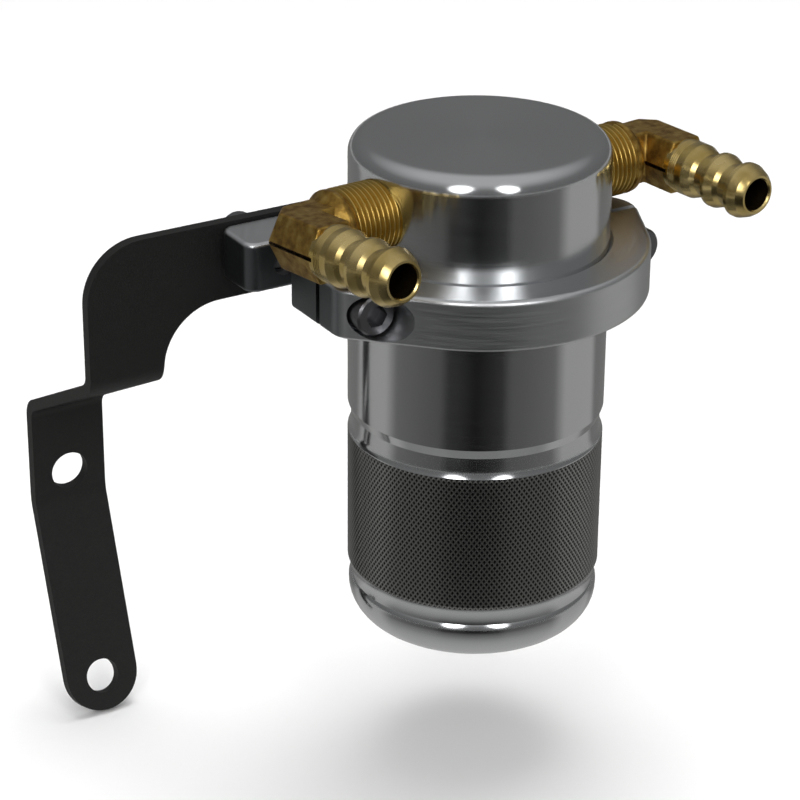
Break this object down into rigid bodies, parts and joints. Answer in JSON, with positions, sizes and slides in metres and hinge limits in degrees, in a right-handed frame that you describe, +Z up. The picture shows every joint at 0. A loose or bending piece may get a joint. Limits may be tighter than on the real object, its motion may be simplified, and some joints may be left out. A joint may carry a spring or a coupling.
{
  "type": "oil catch can",
  "caption": "Turned aluminium oil catch can with a knurled screw-off cup, brass barbed elbows and a split clamp on a bent steel bracket.",
  "frame": {"origin": "mouth of the bracket's upper bolt hole, in the back face of the leg", "axes": "+Z up along the can's axis, -Y out of the bolt hole towards the front, +X along the bracket's upper strip towards the can"},
  "size_m": [0.1529, 0.123, 0.1653],
  "materials": {
    "turned_aluminium": "fine turned, lightly brushed",
    "milled_aluminium": "milled with fine tool lines",
    "sheet_aluminium": "plain rolled sheet",
    "brass": "machined barbs and threads, forged matt corner",
    "black_coat": "fine textured powder coat",
    "screw_steel": "plated screw steel",
    "stainless_screen": "punched stainless sheet",
    "stainless_mesh": "knitted stainless wire",
    "spring_steel": "oiled spring steel",
    "seal_rubber": "matt nitrile rubber"
  },
  "bodies": {
    "mounting": {"bracket_plate": "black_coat", "bracket_screw_left": "screw_steel", "bracket_screw_right": "screw_steel", "bracket_washer_left": "screw_steel", "bracket_washer_right": "screw_steel", "clamp_body": "milled_aluminium", "clamp_cap": "milled_aluminium", "pinch_screw_left": "screw_steel", "pinch_screw_right": "screw_steel", "pinch_washer_left": "screw_steel", "pinch_washer_right": "screw_steel"},
    "head": {"upper_body": "turned_aluminium", "inlet_elbow": "brass", "outlet_elbow": "brass", "flow_baffle": "sheet_aluminium", "upper_screen": "stainless_screen", "mesh_pad": "stainless_mesh", "lower_screen": "stainless_screen", "retaining_ring": "spring_steel"},
    "seal": {"cup_o_ring": "seal_rubber"},
    "cup": {"collection_cup": "turned_aluminium"}
  },
  "joints": [
    {"name": "can_swivel", "type": "hinge", "parent": "mounting", "child": "head", "pos_m": [0.0775, -0.0765, 0.0755], "axis": [0, 0, 1], "range_deg": [-20, 20]},
    {"name": "cup_drop", "type": "slide", "parent": "head", "child": "seal", "axis": [0, 0, -1], "range_m": [0, 0.0101]},
    {"name": "cup_turn", "type": "hinge", "parent": "seal", "child": "cup", "pos_m": [0.0775, -0.0765, 0], "axis": [0, 0, -1], "range_deg": [0, 1800]}
  ],
  "couplings": [
    {"joint": "cup_drop", "follows": "cup_turn", "m_per_rad": 0.00031831}
  ]
}
